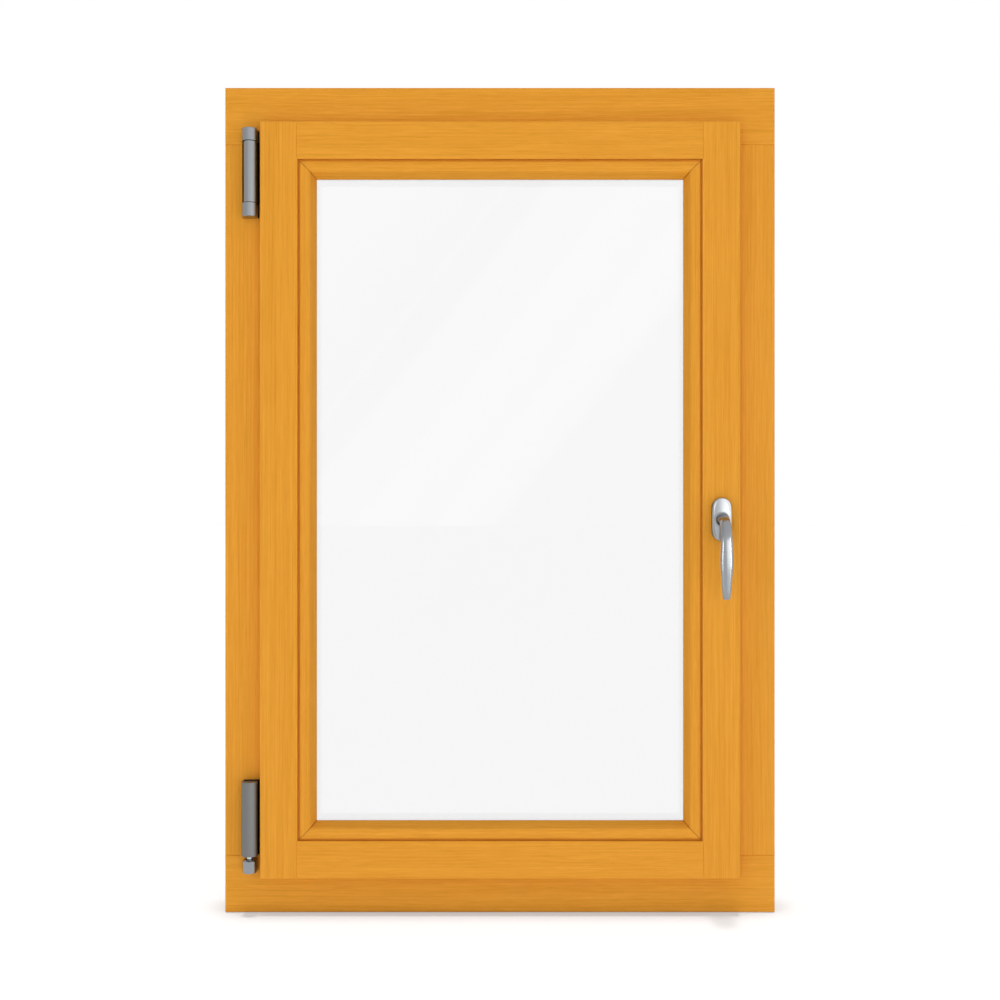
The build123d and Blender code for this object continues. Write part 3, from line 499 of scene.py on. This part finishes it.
# %% [markdown]
# ## Floor
# A plain pale floor carries the window and takes its soft shadow. To the camera it is part paint
# and part even white, so that it runs into the background. Through the glass it is white, and in
# polished metal it is nearly so. Paint alone would need a lamp bright enough to burn out timber.

# %% Floor
FLOOR_SIZE = 60.0
FLOOR_DROP = 0.0004
FLOOR_WHITE = 0.35
WHITE = (1.0, 1.0, 1.0, 1.0)
FLOOR_IN_METAL = darkened(WHITE, 0.88)
FLOOR_PAINT = srgb(192, 192, 192), srgb(195, 195, 195)
FLOOR_SPECKS = 3.0

bpy.ops.mesh.primitive_plane_add(size=FLOOR_SIZE, location=(0.0, 0.0, -FLOOR_DROP))
floor = bpy.context.object
floor.name = "floor"


def ray(bench, kind):
    """1 for a ray of this kind and 0 for any other."""
    return bench.node("LightPath", {}, {}, kind)


paint, bench = finish("floor_paint")
speck = bench.noise(bench.place(), FLOOR_SPECKS)
matt = bench.node("BsdfDiffuse", {}, {"Color": bench.blend(speck, *FLOOR_PAINT)})
through = ray(bench, "Is Transmission Ray")
mirrored = ray(bench, "Is Glossy Ray")
in_metal = mirrored - mirrored * through
white = bench.blend(in_metal, WHITE, FLOOR_IN_METAL)
glow = bench.node("Emission", {}, {"Color": white, "Strength": 1.0})
share = ray(bench, "Is Camera Ray") * FLOOR_WHITE + through + mirrored
mixed = bench.node("MixShader", {}, {0: share, 1: matt, 2: glow})
bench.node("OutputMaterial", {}, {"Surface": mixed})
floor.data.materials.append(paint)
print("floor", FLOOR_SIZE, "m wide")

# %% [markdown]
# ## World
# The room lights the window from all round, most from the sides and least from straight ahead, so
# that the sloping beads are nearly as bright as the flat faces. Metal mirrors a simpler room, grey
# on the left and white on the right, which gives the rosette its shading from side to side.
# Slanting panels behind the camera are mirrored in the glass, and they are the sheen across it.
# The camera sees plain white, and so does whoever looks through the glass. A picture of a room
# could light the scene instead, but its colours would tint the timber.

# %% World
LEFT_GREY = 0.71
RIGHT_GREY = 0.95
CEILING_GREY = 0.85
OVERHEAD = 0.94
FRONT_LIGHT = 0.4
SIDE_LIGHT = 1.29
BACK_LIGHT = 0.4

# Where each change starts and ends, as a part of the direction: 1 is straight along it.
LEFT_TO_RIGHT = (-0.9, 0.1)
WALL_TO_CEILING = (0.2, 0.8)
LEVEL_TO_OVERHEAD = (0.0, 0.8)
FRONT_TO_SIDE = (-0.97, -0.2)
SIDE_TO_BACK = (0.0, 0.35)

# Pale panels stand on a slant behind the camera. Side and top say where they fade out, and ahead
# keeps them in front of the window.
PANEL_SLOPE = math.radians(51.5)
PANEL_SCALE = 1.69
PANEL_MIDDLE = 0.5
PANEL_LIGHT = 0.8
PANEL_SIDE = (0.14, 0.17)
PANEL_TOP = (0.24, 0.27)
PANEL_AHEAD = (-0.9, -0.5)

# How far across the panels, and how bright they are there.
PANELS = [
    (0.15, 0.15),
    (0.198, 0.75),
    (0.204, 0.0),
    (0.478, 0.0),
    (0.49, 0.5),
    (0.535, 0.9),
    (0.552, 0.55),
    (0.612, 0.85),
    (0.626, 0.5),
    (0.684, 0.55),
    (0.69, 0.0),
    (0.723, 0.0),
    (0.727, 0.6),
    (0.731, 0.0),
    (0.84, 0.6),
]


def panels(bench, sideways, heading, height):
    """What the slanting panels add to the room that glass and metal mirror."""
    across = height * math.cos(PANEL_SLOPE) - sideways * math.sin(PANEL_SLOPE)
    bright = bench.ramp(across * PANEL_SCALE + PANEL_MIDDLE, PANELS)
    within = bench.rise(abs(sideways), *PANEL_SIDE, 1.0, 0.0)
    within = within * bench.rise(abs(height), *PANEL_TOP, 1.0, 0.0)
    return bright * within * bench.rise(heading, *PANEL_AHEAD, PANEL_LIGHT, 0.0)


world = bpy.data.worlds.new("studio")
bpy.context.scene.world = world
world.use_nodes = True
bench = Bench(world.node_tree)
sideways, heading, height = bench.parts(bench.node("TexCoord", {}, {}, "Generated"))
shown = bench.rise(sideways, *LEFT_TO_RIGHT, LEFT_GREY, RIGHT_GREY)
shown = shown * bench.rise(height, *WALL_TO_CEILING, 1.0, CEILING_GREY)
shown = shown + panels(bench, sideways, heading, height)
lit = bench.rise(heading, *FRONT_TO_SIDE, FRONT_LIGHT, SIDE_LIGHT)
lit = lit * bench.rise(heading, *SIDE_TO_BACK, 1.0, BACK_LIGHT)
lit = lit * bench.rise(height, *LEVEL_TO_OVERHEAD, 1.0, OVERHEAD)
plain = ray(bench, "Is Camera Ray") + ray(bench, "Is Transmission Ray")
level = lit + ray(bench, "Is Glossy Ray") * (shown - lit)
level = level + plain * (1.0 - level)
sky = bench.node("Background", {}, {"Color": WHITE, "Strength": level})
bench.node("OutputWorld", {}, {"Surface": sky})
print("world light front", FRONT_LIGHT, "side", SIDE_LIGHT, "back", BACK_LIGHT)

# %% [markdown]
# ## Lamps
# Two round lamps either side of the camera draw the soft edge of shade where the sash stands proud
# of the frame. One lamp straight above lights the floor alone, so what stands proud shades a strip
# of it. One strong lamp could do both, but it would burn out the timber.

# %% Hanging a lamp
def facing(spot, aim):
    """The turn that points a lamp from its spot to its aim."""
    away = [a - b for a, b in zip(aim, spot)]
    turn = math.atan2(-away[0], away[1])
    tip = math.atan2(away[2], math.hypot(away[0], away[1]))
    return (UPRIGHT_TURN + tip, 0.0, turn)


def hang(name, kind, power, spot, aim):
    light = bpy.data.lights.new(name, kind)
    light.energy = power
    lamp = bpy.data.objects.new(name, light)
    lamp.location = spot
    lamp.rotation_euler = facing(spot, aim)
    bpy.context.scene.collection.objects.link(lamp)
    print(name, "at", spot, "power", power)
    return lamp


def light_only(lamp, piece):
    """Keep a lamp's light to one piece."""
    group = bpy.data.collections.new(lamp.name + "_only")
    group.objects.link(piece)
    lamp.light_linking.receiver_collection = group


# %% Top light and key lights
MIDDLE = (0.0, 0.0, LEVEL)
TOP_POWER = 3.75
TOP_SPOT = (0.0, 0.0, 3.0)
TOP_SPREAD = math.radians(4.0)
KEY_ASIDE = 0.97
KEY_BACK = -3.0
KEY_WIDTH = 0.5
KEY_POWER = 5.6

top_light = hang("top_light", "SUN", TOP_POWER, TOP_SPOT, MIDDLE)
top_light.data.angle = TOP_SPREAD
light_only(top_light, floor)
for name, side in (("key_left", -1.0), ("key_right", 1.0)):
    key = hang(name, "AREA", KEY_POWER, (side * KEY_ASIDE, KEY_BACK, LEVEL), MIDDLE)
    key.data.shape = "DISK"
    key.data.size = KEY_WIDTH
    key.visible_transmission = False
    key.visible_glossy = False

# %% [markdown]
# ## Reflections
# Polished metal shows what stands round it. Two soft boxes on the right show only as reflections,
# and two narrow strips draw the bright lines down the lever alone. The lines could be painted on
# the lever, but they would stay where they are when it turns.

# %% Soft boxes and strips
HANDLE = (0.32, -0.09, 0.56)
BOX_LEVEL = 0.68
BOX_TALL = 1.2


def soft_box(name, x, y, width, power):
    lamp = hang(name, "AREA", power, (x, y, BOX_LEVEL), HANDLE)
    lamp.data.shape = "RECTANGLE"
    lamp.data.size = width
    lamp.data.size_y = BOX_TALL
    lamp.visible_transmission = False
    lamp.visible_diffuse = False
    return lamp


soft_box("soft_box_near", x=1.12, y=-2.56, width=0.92, power=4.5)
soft_box("soft_box_right", x=2.09, y=-1.99, width=1.38, power=8.3)
strip_left = soft_box("strip_left", x=-2.05, y=-2.07, width=0.4, power=9.5)
strip_right = soft_box("strip_right", x=2.4, y=-1.4, width=0.3, power=6.5)
for strip in (strip_left, strip_right):
    light_only(strip, nodes["handle_lever"])
